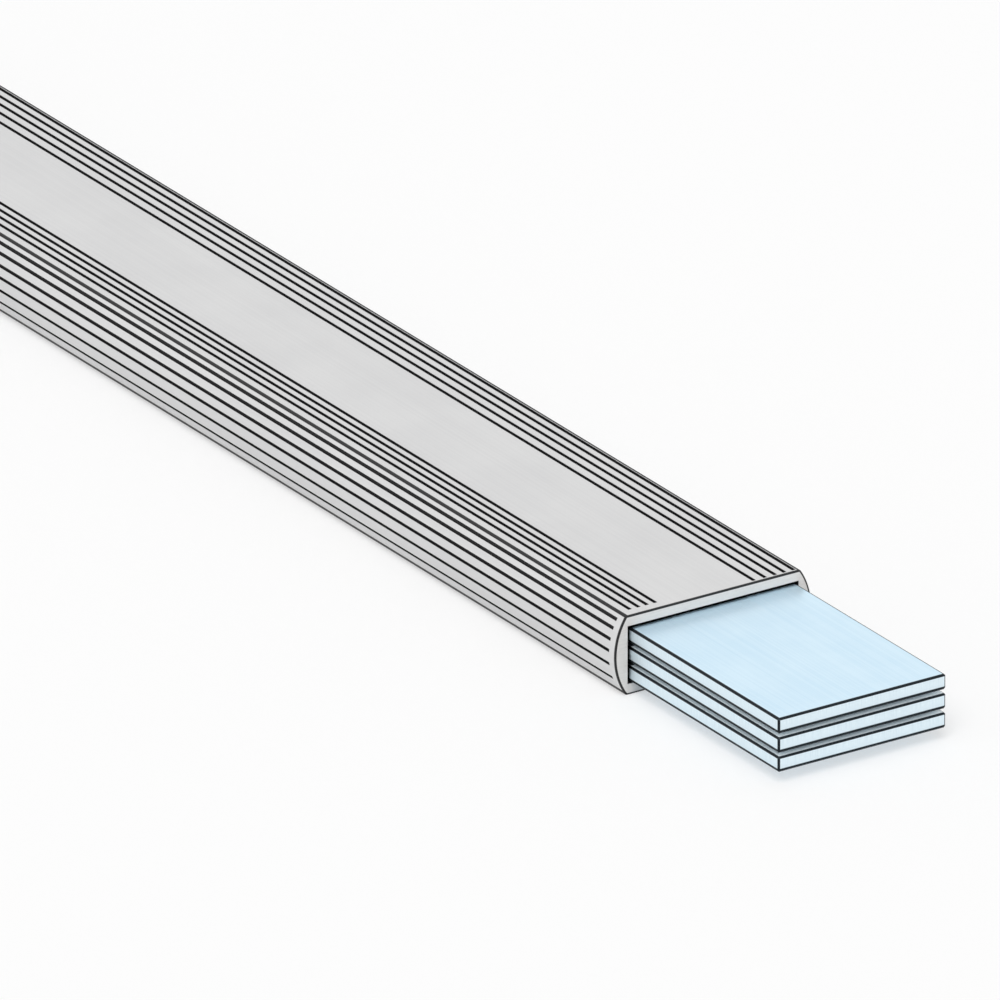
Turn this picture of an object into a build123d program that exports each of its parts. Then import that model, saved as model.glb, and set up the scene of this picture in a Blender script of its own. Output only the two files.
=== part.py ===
from build123d import *
from build123d.topology import SkipClean
import os
from math import asin, degrees, sqrt

# Insulated flexible busbar, a straight stock length with one end stripped.
# The bar lies along X with its bare end at +X, its width along Y and its base on Z = 0.
# All sizes are in millimetres.

# Lengths along the bar
bar_length = 1800.0
bare_length = 32.0

# Conductor: flat laminations, one above the other
lamination_width = 24.0
lamination_thickness = 2.0
lamination_names = ("bottom", "middle", "top")
lamination_gap = 0.5
lamination_edge_break = 0.2

# Insulating sheath: flat above and below, with bulging sides
flat_wall = 1.65
corner_overhang = 0.5
side_bulge = 1.6
mouth_flare = 0.3
mouth_flare_depth = 1.5

# Grooves along the sheath, from the far end to a little short of the mouth
flat_groove_width = 0.55
side_groove_width = 0.45
groove_depth = 0.3
near_edge_grooves = (1.55, 2.8, 4.0, 5.2)
near_edge_groove_margin = 1.45
far_edge_grooves = (0.65, 1.95, 3.3, 4.75, 6.35)
far_edge_groove_margin = 0.4
side_groove_levels = (0.2, 0.385, 0.555, 0.695, 0.825, 0.925)
side_groove_margin = 1.3

# Sizes that follow from those above
lamination_count = len(lamination_names)
lamination_pitch = lamination_thickness + lamination_gap
bore_height = lamination_count * lamination_thickness + (lamination_count - 1) * lamination_gap
bore_width = lamination_width
sheath_height = bore_height + 2 * flat_wall
half_flat = lamination_width / 2 + corner_overhang
half_height = sheath_height / 2
side_radius = (half_height**2 + side_bulge**2) / (2 * side_bulge)
side_centre = half_flat + side_bulge - side_radius
far_end = -bar_length / 2
bare_end = bar_length / 2
mouth = bare_end - bare_length


def along_bar(section, start, end):
    """A section drawn across the bar, extruded from one place on its length to another."""
    return extrude(Plane.YZ.offset(start) * section, amount=end - start)


def sheath_outline():
    """The sheath's outer section: two flats joined by two bulging arcs that meet them at corners."""
    base = Line((-half_flat, 0), (half_flat, 0))
    far_side = ThreePointArc(
        (half_flat, 0), (half_flat + side_bulge, half_height), (half_flat, sheath_height)
    )
    crown = Line((half_flat, sheath_height), (-half_flat, sheath_height))
    near_side = ThreePointArc(
        (-half_flat, sheath_height), (-half_flat - side_bulge, half_height), (-half_flat, 0)
    )
    return make_face([base, far_side, crown, near_side])


def groove(place, width, margin):
    """A square-bottomed slot centred on the surface at this place, so that half of it cuts in."""
    slot = place * Rectangle(width, 2 * groove_depth)
    return along_bar(slot, far_end, mouth - margin)


def flat_grooves():
    """The grooves beside the corners of the upper and the lower flat."""
    grooves = []
    for level in (0, sheath_height):
        for inset in near_edge_grooves:
            place = Pos(inset - half_flat, level)
            grooves.append(groove(place, flat_groove_width, near_edge_groove_margin))
        for inset in far_edge_grooves:
            place = Pos(half_flat - inset, level)
            grooves.append(groove(place, flat_groove_width, far_edge_groove_margin))
    return grooves


def side_grooves():
    """The grooves across both bulging sides, each square to the arc where it lies."""
    grooves = []
    for share in side_groove_levels:
        level = share * sheath_height
        rise = level - half_height
        reach = side_centre + sqrt(side_radius**2 - rise**2)
        tilt = 90 - degrees(asin(rise / side_radius))
        for side in (-1, 1):
            place = Pos(side * reach, level) * Rot(0, 0, -side * tilt)
            grooves.append(groove(place, side_groove_width, side_groove_margin))
    return grooves


def insulating_sheath():
    """The extruded sheath with its bore, its grooves, and the slight flare that its cut end has."""
    bore_section = Pos(0, half_height) * Rectangle(bore_width, bore_height)
    sheath = along_bar(sheath_outline() - bore_section, far_end, mouth)
    mouth_face = sheath.faces().sort_by(Axis.X)[-1]
    mouth_edges = mouth_face.inner_wires().edges()
    sheath = chamfer(mouth_edges, mouth_flare, mouth_flare_depth, reference=mouth_face)
    return sheath - flat_grooves() - side_grooves()


def lamination(level):
    """One flat strip with its edges broken, whose bare end has faces apart from the covered length."""
    strip = Rectangle(lamination_width, lamination_thickness)
    section = Pos(0, level) * chamfer(strip.vertices(), lamination_edge_break)
    covered = along_bar(section, far_end, mouth)
    bare = along_bar(section, mouth, bare_end)
    bare = chamfer(bare.faces().sort_by(Axis.X)[-1].edges(), lamination_edge_break)
    with SkipClean():
        return covered.fuse(bare)


def main():
    os.makedirs("parts", exist_ok=True)
    export_step(insulating_sheath(), "parts/insulating_sheath.step")
    lowest = flat_wall + lamination_thickness / 2
    for place, name in enumerate(lamination_names):
        strip = lamination(lowest + place * lamination_pitch)
        export_step(strip, f"parts/lamination_{name}.step")


main()
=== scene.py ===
import bmesh
import bpy
from math import asin, copysign, cos, radians, sin
from mathutils import Matrix, Vector


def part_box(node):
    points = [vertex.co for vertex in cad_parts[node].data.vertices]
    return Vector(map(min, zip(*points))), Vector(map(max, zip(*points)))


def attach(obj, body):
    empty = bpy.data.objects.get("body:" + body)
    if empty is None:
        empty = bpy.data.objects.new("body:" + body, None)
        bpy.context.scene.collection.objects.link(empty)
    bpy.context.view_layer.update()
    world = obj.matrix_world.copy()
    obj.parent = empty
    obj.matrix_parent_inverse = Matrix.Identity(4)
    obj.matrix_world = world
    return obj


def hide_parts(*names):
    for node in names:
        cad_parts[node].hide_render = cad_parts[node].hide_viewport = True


# Insulated flexible busbar: a grooved extruded sheath round three bright laminations, stripped at one end.
# Lengths are in metres in the frame of the solids: X along the bar, Y across it, Z up.

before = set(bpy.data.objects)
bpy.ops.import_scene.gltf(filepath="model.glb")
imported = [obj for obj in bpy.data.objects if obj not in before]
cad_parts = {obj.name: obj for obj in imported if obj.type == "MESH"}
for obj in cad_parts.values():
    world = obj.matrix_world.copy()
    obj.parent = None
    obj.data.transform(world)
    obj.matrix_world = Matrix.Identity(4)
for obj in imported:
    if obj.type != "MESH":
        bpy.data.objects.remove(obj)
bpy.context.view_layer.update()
MM = 0.001

# Sizes that the solids give
sheath_low, sheath_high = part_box("insulating_sheath")
top_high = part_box("lamination_top")[1]
middle_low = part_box("lamination_middle")[0]
bottom_low, bottom_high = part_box("lamination_bottom")
far_end = sheath_low.x
mouth = sheath_high.x
sheath_height = sheath_high.z
half_height = sheath_height / 2
half_strip = top_high.y
bare_end = top_high.x
half_bore = (top_high.z - bottom_low.z) / 2
lamination_pitch = middle_low.z - bottom_low.z
lamination_thickness = bottom_high.z - bottom_low.z

# Sizes of the sheath's section, as on the solid
corner_overhang = 0.5 * MM
half_flat = half_strip + corner_overhang
side_bulge = sheath_high.y - half_flat
side_radius = (half_height**2 + side_bulge**2) / (2 * side_bulge)
side_centre = sheath_high.y - side_radius
mouth_flare = 0.3 * MM
mouth_flare_depth = 1.5 * MM

# Grooves, as on the solid, with walls that lean back a little
flat_groove_width = 0.55 * MM
side_groove_width = 0.45 * MM
groove_depth = 0.3 * MM
groove_lean = 0.05 * MM
near_edge_grooves = (1.55 * MM, 2.8 * MM, 4.0 * MM, 5.2 * MM)
near_edge_groove_margin = 1.45 * MM
far_edge_grooves = (0.65 * MM, 1.95 * MM, 3.3 * MM, 4.75 * MM, 6.35 * MM)
far_edge_groove_margin = 0.4 * MM
side_groove_levels = (0.2, 0.385, 0.555, 0.695, 0.825, 0.925)
side_groove_margin = 1.3 * MM

# Finish of the sheath's edges and fineness of its arcs
corner_round = 0.16 * MM
corner_round_steps = 3
cut_edge_round = 0.08 * MM
cut_edge_round_steps = 2
side_steps = 32
sharp_above = radians(24)

# How far beyond the far end the skin is drawn before it is cut, how near counts as the same place,
# and how much of its normal has to point one way for a face to look that way, or to lean that way
spare_length = 5 * MM
near = 0.003 * MM
looks_that_way = 0.9
leans_that_way = 0.6

# Flat layout of the sheath's faces, in shares of the real lengths, for maps that are sharp at the ends
layout_end = 1.5 * MM
layout_end_share = 4
layout_length_share = 1 / 40
layout_bore_share = 1 / 6
layout_seam_angle = radians(66)
layout_margin = 0.003

# Dark lines along the edges, as dirt and oxide leave them: full up to one depth, gone by the other.
# The corners' lines are narrower down the sides than across the flats. At the sheath's lower corners
# and at the strips' lower edges a line reaches further up.
corner_line = (0.23 * MM, 0.3 * MM)
corner_line_narrowing = 1.4
lower_corner_line = (0.62 * MM, 0.72 * MM)
lower_corner_narrowing = 2.2
mouth_line = (0.19 * MM, 0.27 * MM)
strip_line = (0.22 * MM, 0.27 * MM)
outer_strip_line = (0.28 * MM, 0.34 * MM)
lower_edge_line = (0.42 * MM, 0.50 * MM)

# Depths at which the painted shade of the insides begins and is full: in the sheath's grooves and bore,
# under its skin and behind its cut ends, and on the strips behind the mouth and behind their far end
shade_under_skin = (0.015 * MM, 0.06 * MM)
shade_behind_cut = (0.02 * MM, 0.15 * MM)
shade_in_mouth = 0.15 * MM
shade_off_far_end = (0.02 * MM, 0.1 * MM)

# How near the top or the bottom of the stack a strip's face begins to count as an outer one, and does
# so fully, and the depths of the fine relief on plastic and on metal
outer_face_depths = (0.2 * MM, 0.1 * MM)
sheath_relief = 0.006 * MM
strip_relief = 0.002 * MM

# Studio: the floor, the room's light and how bright the camera sees it, and the sun
floor_reach = 150.0
floor_drop = 0.02 * MM
floor_glow = 0.45
room_light = 0.6
room_seen = 1.0
sun_strength = 1.5
sun_spread = radians(40)
sun_from = Vector((0.45, -0.4, 0.85))

ALONG = Vector((1, 0, 0))


# Sheath

def groove_lines():
    """Each groove: its place on the section, the way out of the surface, its width and its end."""
    lines = []
    for out, level in ((Vector((0, 0, 1)), sheath_height), (Vector((0, 0, -1)), 0)):
        for inset in near_edge_grooves:
            place = Vector((0, inset - half_flat, level))
            lines.append((place, out, flat_groove_width, mouth - near_edge_groove_margin))
        for inset in far_edge_grooves:
            place = Vector((0, half_flat - inset, level))
            lines.append((place, out, flat_groove_width, mouth - far_edge_groove_margin))
    for share in side_groove_levels:
        tilt = asin((share * sheath_height - half_height) / side_radius)
        for side in (-1, 1):
            out = Vector((0, side * cos(tilt), sin(tilt)))
            place = Vector((0, side * side_centre, half_height)) + side_radius * out
            lines.append((place, out, side_groove_width, mouth - side_groove_margin))
    return lines


def whole(faces):
    """The faces with their edges and corners, as a cut needs them."""
    edges = {edge for face in faces for edge in face.edges}
    verts = {vert for face in faces for vert in face.verts}
    return list(faces) + list(edges) + list(verts)


def cut(bm, faces, place, direction, drop=False):
    """Cut these faces by a plane. With drop, what lies beyond the plane goes."""
    bmesh.ops.bisect_plane(
        bm, geom=whole(faces), dist=near, plane_co=place, plane_no=direction, clear_outer=drop
    )


def spin_skin(bm):
    """The outer skin: a side's arc is spun, mirrored, joined by flats and drawn along the bar."""
    half_turn = asin(half_height / side_radius)
    low = bm.verts.new((mouth, half_flat, 0))
    centre = (mouth, side_centre, half_height)
    bmesh.ops.spin(bm, geom=[low], cent=centre, axis=ALONG, angle=2 * half_turn, steps=side_steps)
    arc = bm.verts[:] + bm.edges[:]
    bmesh.ops.mirror(bm, geom=arc, matrix=Matrix.Identity(4), merge_dist=-1, axis="Y")
    for level in (0, sheath_height):
        ends = [vert for vert in bm.verts if abs(vert.co.z - level) < near]
        bm.edges.new(ends)
    drawn = bmesh.ops.extrude_edge_only(bm, edges=bm.edges[:])["geom"]
    moved = [item for item in drawn if isinstance(item, bmesh.types.BMVert)]
    bmesh.ops.translate(bm, verts=moved, vec=ALONG * (far_end - spare_length - mouth))
    bmesh.ops.recalc_face_normals(bm, faces=bm.faces[:])
    crown = max(bm.faces, key=lambda face: face.calc_center_median().z)
    if crown.normal.z < 0:
        bmesh.ops.reverse_faces(bm, faces=bm.faces[:])


def runs_along(edge):
    """True for an edge that runs the length of the bar."""
    return abs((edge.verts[0].co - edge.verts[1].co).x) > spare_length


def round_corners(bm):
    """The four corners where the flats meet the bulging sides."""
    corners = []
    for edge in bm.edges:
        if runs_along(edge) and abs(abs(edge.verts[0].co.y) - half_flat) < near:
            corners.append(edge)
    bmesh.ops.bevel(
        bm, geom=corners, offset=corner_round, segments=corner_round_steps, profile=0.5,
        affect="EDGES", material=-1,
    )


def strip_faces(bm, place, out, width):
    """The faces of the skin that lie in a groove's width."""
    across = out.cross(ALONG)
    found = []
    for face in bm.faces:
        reach = face.calc_center_median() - place
        if face.normal.dot(out) > looks_that_way and abs(reach.dot(across)) < width / 2:
            found.append(face)
    return found


def press_grooves(bm):
    """The skin is cut round at the grooves' ends and along their edges, and the grooves pushed in."""
    for end in sorted({end for place, out, width, end in groove_lines()}):
        cut(bm, bm.faces[:], ALONG * end, ALONG)
    strips = []
    for place, out, width, end in groove_lines():
        across = out.cross(ALONG)
        for side in (-1, 1):
            facing = [face for face in bm.faces if face.normal.dot(out) > leans_that_way]
            cut(bm, facing, place + side * across * width / 2, across)
        for face in strip_faces(bm, place, out, width):
            if face.calc_center_median().x < end:
                strips.append(face)
    bmesh.ops.inset_region(
        bm, faces=strips, thickness=groove_lean, depth=-groove_depth,
        use_boundary=True, use_even_offset=True,
    )
    cut(bm, bm.faces[:], ALONG * far_end, -ALONG, drop=True)
    cut(bm, bm.faces[:], ALONG * (far_end + layout_end), ALONG)


def open_bore(bm):
    """The rectangular bore, its walls facing in, flared a little at the mouth."""
    walls = bmesh.ops.create_cube(bm, size=1)["verts"]
    bmesh.ops.scale(bm, verts=walls, vec=(mouth - far_end, 2 * half_strip, 2 * half_bore))
    bmesh.ops.translate(bm, verts=walls, vec=((mouth + far_end) / 2, 0, half_height))
    faces = list({face for vert in walls for face in vert.link_faces})
    ends = [face for face in faces if abs(face.normal.x) > looks_that_way]
    bmesh.ops.delete(bm, geom=ends, context="FACES_ONLY")
    sides = [face for face in faces if face.is_valid]
    bmesh.ops.reverse_faces(bm, faces=sides)
    cut(bm, sides, ALONG * (mouth - mouth_flare_depth), ALONG)
    lip = [vert for vert in walls if abs(vert.co.x - mouth) < near]
    flare = (1, 1 + mouth_flare / half_strip, 1 + mouth_flare / half_bore)
    bmesh.ops.scale(bm, verts=lip, vec=flare, space=Matrix.Translation((0, 0, -half_height)))


def close_end(bm, at, facing):
    """The cut face between the bore and the outline, at one end of the sheath."""
    rim = [edge for edge in bm.edges if all(abs(vert.co.x - at) < near for vert in edge.verts)]
    rim = [edge for edge in rim if len(edge.link_faces) == 1]
    bmesh.ops.triangle_fill(bm, edges=rim, use_beauty=True, normal=facing)


def on_outline(vert):
    """True for a corner of the mouth that lies on the outer outline, not on the bore's."""
    beside = abs(vert.co.y) > half_strip + corner_overhang / 2 + mouth_flare / 2
    above_or_below = abs(vert.co.z - half_height) > half_bore + 2 * mouth_flare
    return abs(vert.co.x - mouth) < near and (beside or above_or_below)


def soften_mouth(bm):
    """The outer edge of the cut end is a little rounded."""
    rim = []
    for edge in bm.edges:
        cut_faces = [face for face in edge.link_faces if abs(face.normal.x) > looks_that_way]
        if len(cut_faces) == 1 and all(on_outline(vert) for vert in edge.verts):
            rim.append(edge)
    bmesh.ops.bevel(
        bm, geom=rim, offset=cut_edge_round, segments=cut_edge_round_steps, profile=0.5,
        affect="EDGES", material=-1,
    )
    bmesh.ops.remove_doubles(bm, verts=bm.verts[:], dist=near)


def as_piece(bm, name, material):
    """A finished piece at the origin, riding with the bar."""
    mesh = bpy.data.meshes.new(name)
    bm.to_mesh(mesh)
    bm.free()
    mesh.shade_smooth()
    mesh.set_sharp_from_angle(angle=sharp_above)
    mesh.materials.append(material)
    piece = bpy.data.objects.new(name, mesh)
    bpy.context.scene.collection.objects.link(piece)
    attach(piece, "root")
    return piece


def layout_place(place):
    """A point's place for the layout: the middle is shortened, the ends drawn out, the bore narrowed."""
    half_length = (mouth - far_end) / 2
    off_middle = place.x - far_end - half_length
    end_part = max(abs(off_middle) - half_length + layout_end, 0)
    long_part = abs(off_middle) - end_part
    x = copysign(long_part * layout_length_share + end_part * layout_end_share, off_middle)
    y, z = place.y, place.z - half_height
    reach = mouth_flare + near
    if abs(y) < half_strip + reach and abs(z) < half_bore + reach:
        y, z = y * layout_bore_share, z * layout_bore_share
    return Vector((x, y, z))


def lay_flat(sheath):
    """A flat layout of the faces, made while the points stand in their places for it.

    Its name is the one under which the material is baked into maps.
    """
    mesh = sheath.data
    places = [vert.co.copy() for vert in mesh.vertices]
    for vert, place in zip(mesh.vertices, places):
        vert.co = layout_place(place)
    mesh.uv_layers.new(name="OFBake")
    bpy.ops.object.select_all(action="DESELECT")
    sheath.select_set(True)
    bpy.context.view_layer.objects.active = sheath
    bpy.ops.object.mode_set(mode="EDIT")
    bpy.ops.mesh.select_all(action="SELECT")
    bpy.ops.uv.smart_project(
        angle_limit=layout_seam_angle, island_margin=layout_margin, scale_to_bounds=True
    )
    bpy.ops.object.mode_set(mode="OBJECT")
    for vert, place in zip(mesh.vertices, places):
        vert.co = place


def make_sheath(material):
    """The visible sheath, in place of the solid."""
    bm = bmesh.new()
    spin_skin(bm)
    round_corners(bm)
    press_grooves(bm)
    open_bore(bm)
    close_end(bm, mouth, ALONG)
    close_end(bm, far_end, -ALONG)
    soften_mouth(bm)
    sheath = as_piece(bm, "extruded_sheath", material)
    lay_flat(sheath)
    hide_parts("insulating_sheath")


# Shader helpers

def add(tree, kind, **settings):
    """A new node with these settings."""
    node = tree.nodes.new(kind)
    for name, value in settings.items():
        setattr(node, name, value)
    return node


def feed(tree, socket, value):
    """Put a number, a colour or another node's output into a socket."""
    if isinstance(value, bpy.types.NodeSocket):
        tree.links.new(value, socket)
    else:
        socket.default_value = value


def sums(tree, operation, *values):
    """A math node on numbers or outputs."""
    node = add(tree, "ShaderNodeMath", operation=operation)
    for socket, value in zip(node.inputs, values):
        feed(tree, socket, value)
    return node.outputs[0]


def weighed(tree, *shares):
    """The sum of several masks, each given with its weight."""
    total = 0.0
    for value, weight in shares:
        total = sums(tree, "MULTIPLY_ADD", value, weight, total)
    return total


def rise(tree, value, low, high, start=0.0, end=1.0):
    """Runs smoothly from start to end as value goes from low to high."""
    node = add(tree, "ShaderNodeMapRange", interpolation_type="SMOOTHSTEP")
    given = {"Value": value, "From Min": low, "From Max": high, "To Min": start, "To Max": end}
    for name, number in given.items():
        feed(tree, node.inputs[name], number)
    return node.outputs["Result"]


def mix(tree, share, first, second):
    """A colour between two, by a share that changes over the surface."""
    node = add(tree, "ShaderNodeMix", data_type="RGBA")
    colours = [socket for socket in node.inputs if socket.type == "RGBA"]
    feed(tree, node.inputs["Factor"], share)
    feed(tree, colours[0], first)
    feed(tree, colours[1], second)
    return [socket for socket in node.outputs if socket.type == "RGBA"][0]


def split(tree, vector):
    """The three parts of a vector."""
    node = add(tree, "ShaderNodeSeparateXYZ")
    feed(tree, node.inputs[0], vector)
    return node.outputs


def new_group(name, inputs, output):
    """An empty effect with named number inputs and one named output."""
    tree = bpy.data.node_groups.new(name, "ShaderNodeTree")
    for label, value in inputs.items():
        socket = tree.interface.new_socket(label, in_out="INPUT", socket_type="NodeSocketFloat")
        socket.default_value = value
    tree.interface.new_socket(output, in_out="OUTPUT", socket_type="NodeSocketFloat")
    return tree, add(tree, "NodeGroupInput").outputs, add(tree, "NodeGroupOutput").inputs


def lines_effect():
    """Fine lines that run the way in which they are fewest to the metre, as a tool leaves them."""
    axes = {"Lines along X": 6.0, "Lines along Y": 3000.0, "Lines along Z": 3000.0}
    tree, given, made = new_group("tool_lines", axes, "Mask")
    stretch = add(tree, "ShaderNodeCombineXYZ")
    for socket, label in zip(stretch.inputs, axes):
        feed(tree, socket, given[label])
    product = add(tree, "ShaderNodeVectorMath", operation="MULTIPLY")
    feed(tree, product.inputs[0], add(tree, "ShaderNodeTexCoord").outputs["Object"])
    feed(tree, product.inputs[1], stretch.outputs["Vector"])
    noise = add(tree, "ShaderNodeTexNoise")
    noise.inputs["Scale"].default_value = 1.0
    noise.inputs["Detail"].default_value = 3.0
    feed(tree, noise.inputs["Vector"], product.outputs["Vector"])
    feed(tree, made["Mask"], rise(tree, noise.outputs["Fac"], 0.3, 0.7))
    return tree


def mottle_effect():
    """Soft uneven patches, or a fine grain where there are many in a metre."""
    tree, given, made = new_group("mottle", {"Patches per metre": 60.0}, "Mask")
    noise = add(tree, "ShaderNodeTexNoise")
    noise.inputs["Detail"].default_value = 4.0
    feed(tree, noise.inputs["Vector"], add(tree, "ShaderNodeTexCoord").outputs["Object"])
    feed(tree, noise.inputs["Scale"], given["Patches per metre"])
    feed(tree, made["Mask"], rise(tree, noise.outputs["Fac"], 0.3, 0.7))
    return tree


def use(tree, effect, **given):
    """Place an effect in a material with its own values. Underscores stand for spaces."""
    node = add(tree, "ShaderNodeGroup", node_tree=effect)
    for name, value in given.items():
        feed(tree, node.inputs[name.replace("_", " ")], value)
    return node.outputs[0]


def start_material(name, **settings):
    """A new material, its tree and its surface shader with these plain values."""
    material = bpy.data.materials.new(name)
    material.use_nodes = True
    tree = material.node_tree
    shader = tree.nodes["Principled BSDF"]
    for label, value in settings.items():
        shader.inputs[label.replace("_", " ")].default_value = value
    return material, tree, shader


def roughen(tree, shader, height, depth):
    """A bump of this depth in metres."""
    bump = add(tree, "ShaderNodeBump")
    bump.inputs["Strength"].default_value = 1.0
    bump.inputs["Distance"].default_value = depth
    feed(tree, bump.inputs["Height"], height)
    feed(tree, shader.inputs["Normal"], bump.outputs["Normal"])


def colour(red, green, blue):
    """An opaque colour from its linear parts."""
    return (red, green, blue, 1.0)


# Materials

sheath_light = colour(0.705, 0.705, 0.705)
sheath_shade = colour(0.645, 0.645, 0.65)
sheath_cut = colour(0.735, 0.71, 0.69)
sheath_knife_mark = colour(0.66, 0.64, 0.622)
sheath_arris = colour(0.015, 0.015, 0.016)
hollow_painted_shade = colour(0.006, 0.006, 0.007)
strip_light = colour(0.68, 0.86, 0.975)
strip_shade = colour(0.60, 0.78, 0.90)
gap_painted_light = colour(0.87, 0.945, 0.985)
sheared_light = colour(0.78, 0.89, 0.945)
sheared_shade = colour(0.66, 0.78, 0.85)
strip_edge_line_and_shade = colour(0.02, 0.025, 0.03)


def sheath_depths(tree, place):
    """How far a point of the sheath lies in from the sides, the flats and the cut ends."""
    x, y, z = place
    out_of_side_axis = sums(tree, "SUBTRACT", sums(tree, "ABSOLUTE", y), side_centre)
    off_middle = sums(tree, "SUBTRACT", z, half_height)
    square = sums(tree, "MULTIPLY", out_of_side_axis, out_of_side_axis)
    square = sums(tree, "MULTIPLY_ADD", off_middle, off_middle, square)
    from_side = sums(tree, "SUBTRACT", side_radius, sums(tree, "SQRT", square))
    from_flat = sums(tree, "SUBTRACT", half_height, sums(tree, "ABSOLUTE", off_middle))
    from_mouth = sums(tree, "SUBTRACT", mouth, x)
    from_end = sums(tree, "MINIMUM", from_mouth, sums(tree, "SUBTRACT", x, far_end))
    return from_side, from_flat, from_end


def arris_line(tree, first, second, full, gone):
    """A thin line along the edge at which both depths run out."""
    square = sums(tree, "MULTIPLY_ADD", first, first, sums(tree, "MULTIPLY", second, second))
    return rise(tree, sums(tree, "SQRT", square), full, gone, 1.0, 0.0)


def sheath_material(tool_lines, mottle):
    """Matt light grey plastic, dark along its edges, with painted shade in its grooves and inside the
    bore's mouth.
    """
    material, tree, shader = start_material("light_grey_insulation", Specular_IOR_Level=0.3)
    coordinates = add(tree, "ShaderNodeTexCoord").outputs
    place = split(tree, coordinates["Object"])
    from_side, from_flat, from_end = sheath_depths(tree, place)
    depth = sums(tree, "MINIMUM", from_side, from_flat)
    under_skin = rise(tree, depth, *shade_under_skin)
    behind_cut = rise(tree, from_end, *shade_behind_cut)
    # Grooves and bore walls, away from the cut ends, get a near-black colour: painted shade in the hollows
    shaded_hollows = sums(tree, "MULTIPLY", under_skin, behind_cut)
    down_side = sums(tree, "MULTIPLY", from_flat, corner_line_narrowing)
    along_corner = arris_line(tree, from_side, down_side, *corner_line)
    round_mouth = arris_line(tree, depth, from_end, *mouth_line)
    along_flat = sums(tree, "MULTIPLY", from_side, lower_corner_narrowing)
    lower_corner = arris_line(tree, along_flat, place[2], *lower_corner_line)
    arris = sums(tree, "MAXIMUM", lower_corner, sums(tree, "MAXIMUM", along_corner, round_mouth))
    facing_along = sums(tree, "ABSOLUTE", split(tree, coordinates["Normal"])[0])
    cut_face = rise(tree, facing_along, 0.8, 0.95)

    drawn = use(tree, tool_lines, Lines_along_X=5.0, Lines_along_Y=2600.0, Lines_along_Z=2600.0)
    knife = use(tree, tool_lines, Lines_along_X=100.0, Lines_along_Y=300.0, Lines_along_Z=5000.0)
    patches = use(tree, mottle, Patches_per_metre=90.0)
    grain = use(tree, mottle, Patches_per_metre=3500.0)
    skin = mix(tree, weighed(tree, (drawn, 0.35), (patches, 0.45)), sheath_light, sheath_shade)
    cut_colour = mix(tree, weighed(tree, (knife, 0.6), (grain, 0.3)), sheath_cut, sheath_knife_mark)
    shown = mix(tree, arris, mix(tree, cut_face, skin, cut_colour), sheath_arris)
    feed(tree, shader.inputs["Base Color"], mix(tree, shaded_hollows, shown, hollow_painted_shade))
    gloss = weighed(tree, (drawn, 0.5), (grain, 0.5))
    feed(tree, shader.inputs["Roughness"], rise(tree, gloss, 0.0, 1.0, 0.46, 0.6))
    roughen(tree, shader, weighed(tree, (drawn, 0.6), (grain, 0.4)), sheath_relief)
    return material


def strip_depths(tree, place):
    """How far a point of a strip lies in from its narrow sides and its ends, and up from its lower flat."""
    x, y, z = place
    from_side = sums(tree, "SUBTRACT", half_strip, sums(tree, "ABSOLUTE", y))
    from_bare_end = sums(tree, "SUBTRACT", bare_end, x)
    from_end = sums(tree, "MINIMUM", from_bare_end, sums(tree, "SUBTRACT", x, far_end))
    off_lowest_flat = sums(tree, "SUBTRACT", z, bottom_low.z)
    return from_side, from_end, sums(tree, "MODULO", off_lowest_flat, lamination_pitch)


def middle_of(tree, first, second, third):
    """The middle one of three numbers: how far a point on a box is from the nearest edge."""
    low = sums(tree, "MINIMUM", first, second)
    high = sums(tree, "MAXIMUM", first, second)
    return sums(tree, "MAXIMUM", low, sums(tree, "MINIMUM", high, third))


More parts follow.
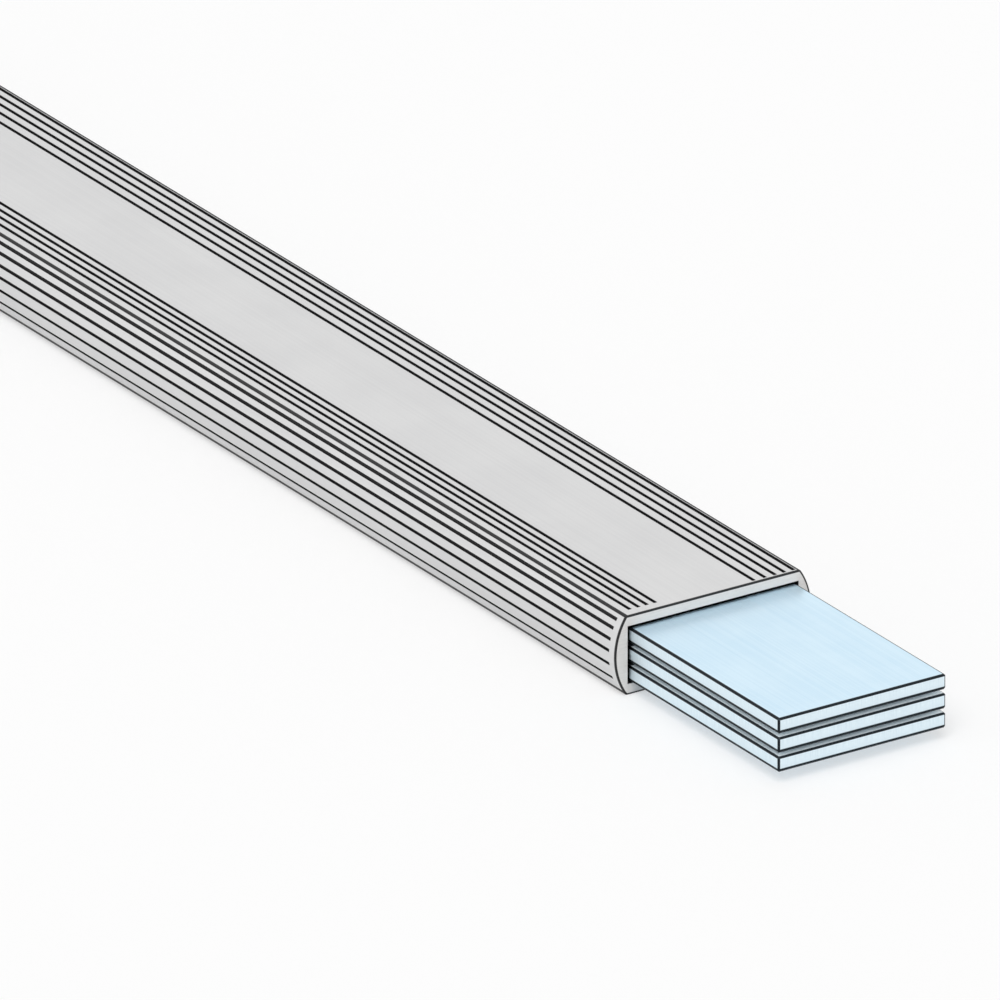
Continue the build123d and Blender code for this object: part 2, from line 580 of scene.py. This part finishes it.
def strip_material(tool_lines, mottle):
    """Bright rolled strip of a pale, bluish metal, dull where it is sheared, with painted light between the
    strips.
    """
    material, tree, shader = start_material("bright_strip")
    coordinates = add(tree, "ShaderNodeTexCoord").outputs
    x, y, z = split(tree, coordinates["Object"])
    from_side, from_end, level = strip_depths(tree, (x, y, z))
    from_flat = sums(tree, "MINIMUM", level, sums(tree, "SUBTRACT", lamination_thickness, level))
    from_edge = middle_of(tree, from_side, from_end, from_flat)
    facing_up = sums(tree, "ABSOLUTE", split(tree, coordinates["Normal"])[2])
    upright = rise(tree, facing_up, 0.3, 0.6, 1.0, 0.0)
    off_middle = sums(tree, "ABSOLUTE", sums(tree, "SUBTRACT", z, half_height))
    outer_from, outer_full = (half_bore - depth for depth in outer_face_depths)
    outermost = rise(tree, off_middle, outer_from, outer_full)
    between = rise(tree, sums(tree, "SUBTRACT", facing_up, outermost), 0.8, 0.95)
    every_edge = rise(tree, from_edge, *strip_line, 1.0, 0.0)
    outer_edge = rise(tree, from_edge, *outer_strip_line, outermost, 0.0)
    lower_edge = rise(tree, level, *lower_edge_line, upright, 0.0)
    arris = sums(tree, "MAXIMUM", every_edge, sums(tree, "MAXIMUM", outer_edge, lower_edge))
    # Behind the mouth the strips take the edge lines' dark colour: painted shade inside the sheath, except
    # at their far end
    under_sheath = rise(tree, x, mouth - shade_in_mouth, mouth, 1.0, 0.0)
    dark_from, dark_full = (far_end + depth for depth in shade_off_far_end)
    off_far_end = rise(tree, x, dark_from, dark_full)
    shaded_under_sheath = sums(tree, "MULTIPLY", under_sheath, off_far_end)

    rolled = use(tree, tool_lines, Lines_along_X=12.0, Lines_along_Y=3500.0, Lines_along_Z=3500.0)
    sheared = use(tree, tool_lines, Lines_along_X=4000.0, Lines_along_Y=4000.0, Lines_along_Z=250.0)
    patches = use(tree, mottle, Patches_per_metre=120.0)
    up_the_edge = sums(tree, "DIVIDE", level, lamination_thickness)
    torn = rise(tree, weighed(tree, (up_the_edge, 1.0), (sheared, 0.3)), 0.45, 0.65, 1.0, 0.0)
    face = mix(tree, weighed(tree, (rolled, 0.35), (patches, 0.35)), strip_light, strip_shade)
    # The faces between the strips are paler and not metal: painted light that lifts the shade in the gaps
    face = mix(tree, between, face, gap_painted_light)
    edge = mix(tree, weighed(tree, (sheared, 0.5), (torn, 0.3)), sheared_light, sheared_shade)
    shown = mix(tree, arris, mix(tree, upright, face, edge), strip_edge_line_and_shade)
    feed(tree, shader.inputs["Base Color"], mix(tree, shaded_under_sheath, shown, strip_edge_line_and_shade))
    gloss = weighed(tree, (rolled, 0.3), (patches, 0.3), (upright, 0.4))
    feed(tree, shader.inputs["Roughness"], rise(tree, gloss, 0.0, 1.0, 0.3, 0.58))
    feed(tree, shader.inputs["Metallic"], rise(tree, between, 0.0, 1.0, 1.0, 0.0))
    roughen(tree, shader, mix(tree, upright, rolled, sheared), strip_relief)
    return material


# Studio

def rays_that_see(tree):
    """1 for what the camera sees itself, in a reflection or through glass."""
    rays = add(tree, "ShaderNodeLightPath").outputs
    seen = sums(tree, "MAXIMUM", rays["Is Camera Ray"], rays["Is Glossy Ray"])
    return sums(tree, "MAXIMUM", seen, rays["Is Transmission Ray"])


def floor_material():
    """Pale floor that is seen near white, still with the bar's shadow."""
    pale = colour(0.97, 0.97, 0.97)
    material, tree, shader = start_material("pale_floor", Roughness=0.9, Base_Color=pale)
    blend = add(tree, "ShaderNodeMixShader")
    feed(tree, blend.inputs[0], sums(tree, "MULTIPLY", rays_that_see(tree), floor_glow))
    feed(tree, blend.inputs[1], shader.outputs["BSDF"])
    feed(tree, blend.inputs[2], add(tree, "ShaderNodeEmission").outputs["Emission"])
    feed(tree, tree.nodes["Material Output"].inputs["Surface"], blend.outputs[0])
    return material


def lay_floor():
    """A wide floor just under the bar, which isn't a piece of the model."""
    bm = bmesh.new()
    bmesh.ops.create_grid(bm, x_segments=1, y_segments=1, size=floor_reach)
    bmesh.ops.translate(bm, verts=bm.verts[:], vec=(0, 0, -floor_drop))
    mesh = bpy.data.meshes.new("studio_floor")
    bm.to_mesh(mesh)
    bm.free()
    mesh.materials.append(floor_material())
    floor = bpy.data.objects.new("studio_floor", mesh)
    bpy.context.scene.collection.objects.link(floor)


def light_studio():
    """An even white room and a soft sun that stands high on the camera's side."""
    world = bpy.data.worlds.new("soft_room")
    bpy.context.scene.world = world
    world.use_nodes = True
    tree = world.node_tree
    background = tree.nodes["Background"]
    background.inputs["Color"].default_value = colour(1.0, 1.0, 1.0)
    strength = rise(tree, rays_that_see(tree), 0.0, 1.0, room_light, room_seen)
    feed(tree, background.inputs["Strength"], strength)

    sun = bpy.data.lights.new("soft_key", "SUN")
    sun.energy = sun_strength
    sun.angle = sun_spread
    key = bpy.data.objects.new("soft_key", sun)
    bpy.context.scene.collection.objects.link(key)
    key.rotation_euler = sun_from.to_track_quat("Z", "Y").to_euler()


def set_camera():
    """A long lens from the drawing's viewing angle, so far off that parallel lines stay nearly so."""
    azimuth, elevation = radians(56.585), radians(23.718)
    distance = 5.3431
    looks_at = Vector((0.824868, -0.002087, 0.007133))
    back = Vector((sin(azimuth) * cos(elevation), -cos(azimuth) * cos(elevation), sin(elevation)))
    lens = bpy.data.cameras.new("long_lens")
    lens.lens = 1600
    lens.sensor_width = 36
    lens.clip_end = 100
    camera = bpy.data.objects.new("long_lens", lens)
    bpy.context.scene.collection.objects.link(camera)
    camera.location = looks_at + back * distance
    camera.rotation_euler = back.to_track_quat("Z", "Y").to_euler()
    bpy.context.scene.camera = camera


bpy.context.scene.view_settings.view_transform = "Standard"
line_effect = lines_effect()
patch_effect = mottle_effect()
make_sheath(sheath_material(line_effect, patch_effect))
bright_strip = strip_material(line_effect, patch_effect)
for name in ("lamination_bottom", "lamination_middle", "lamination_top"):
    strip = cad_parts[name]
    strip.data.materials.clear()
    strip.data.materials.append(bright_strip)
lay_floor()
light_studio()
set_camera()
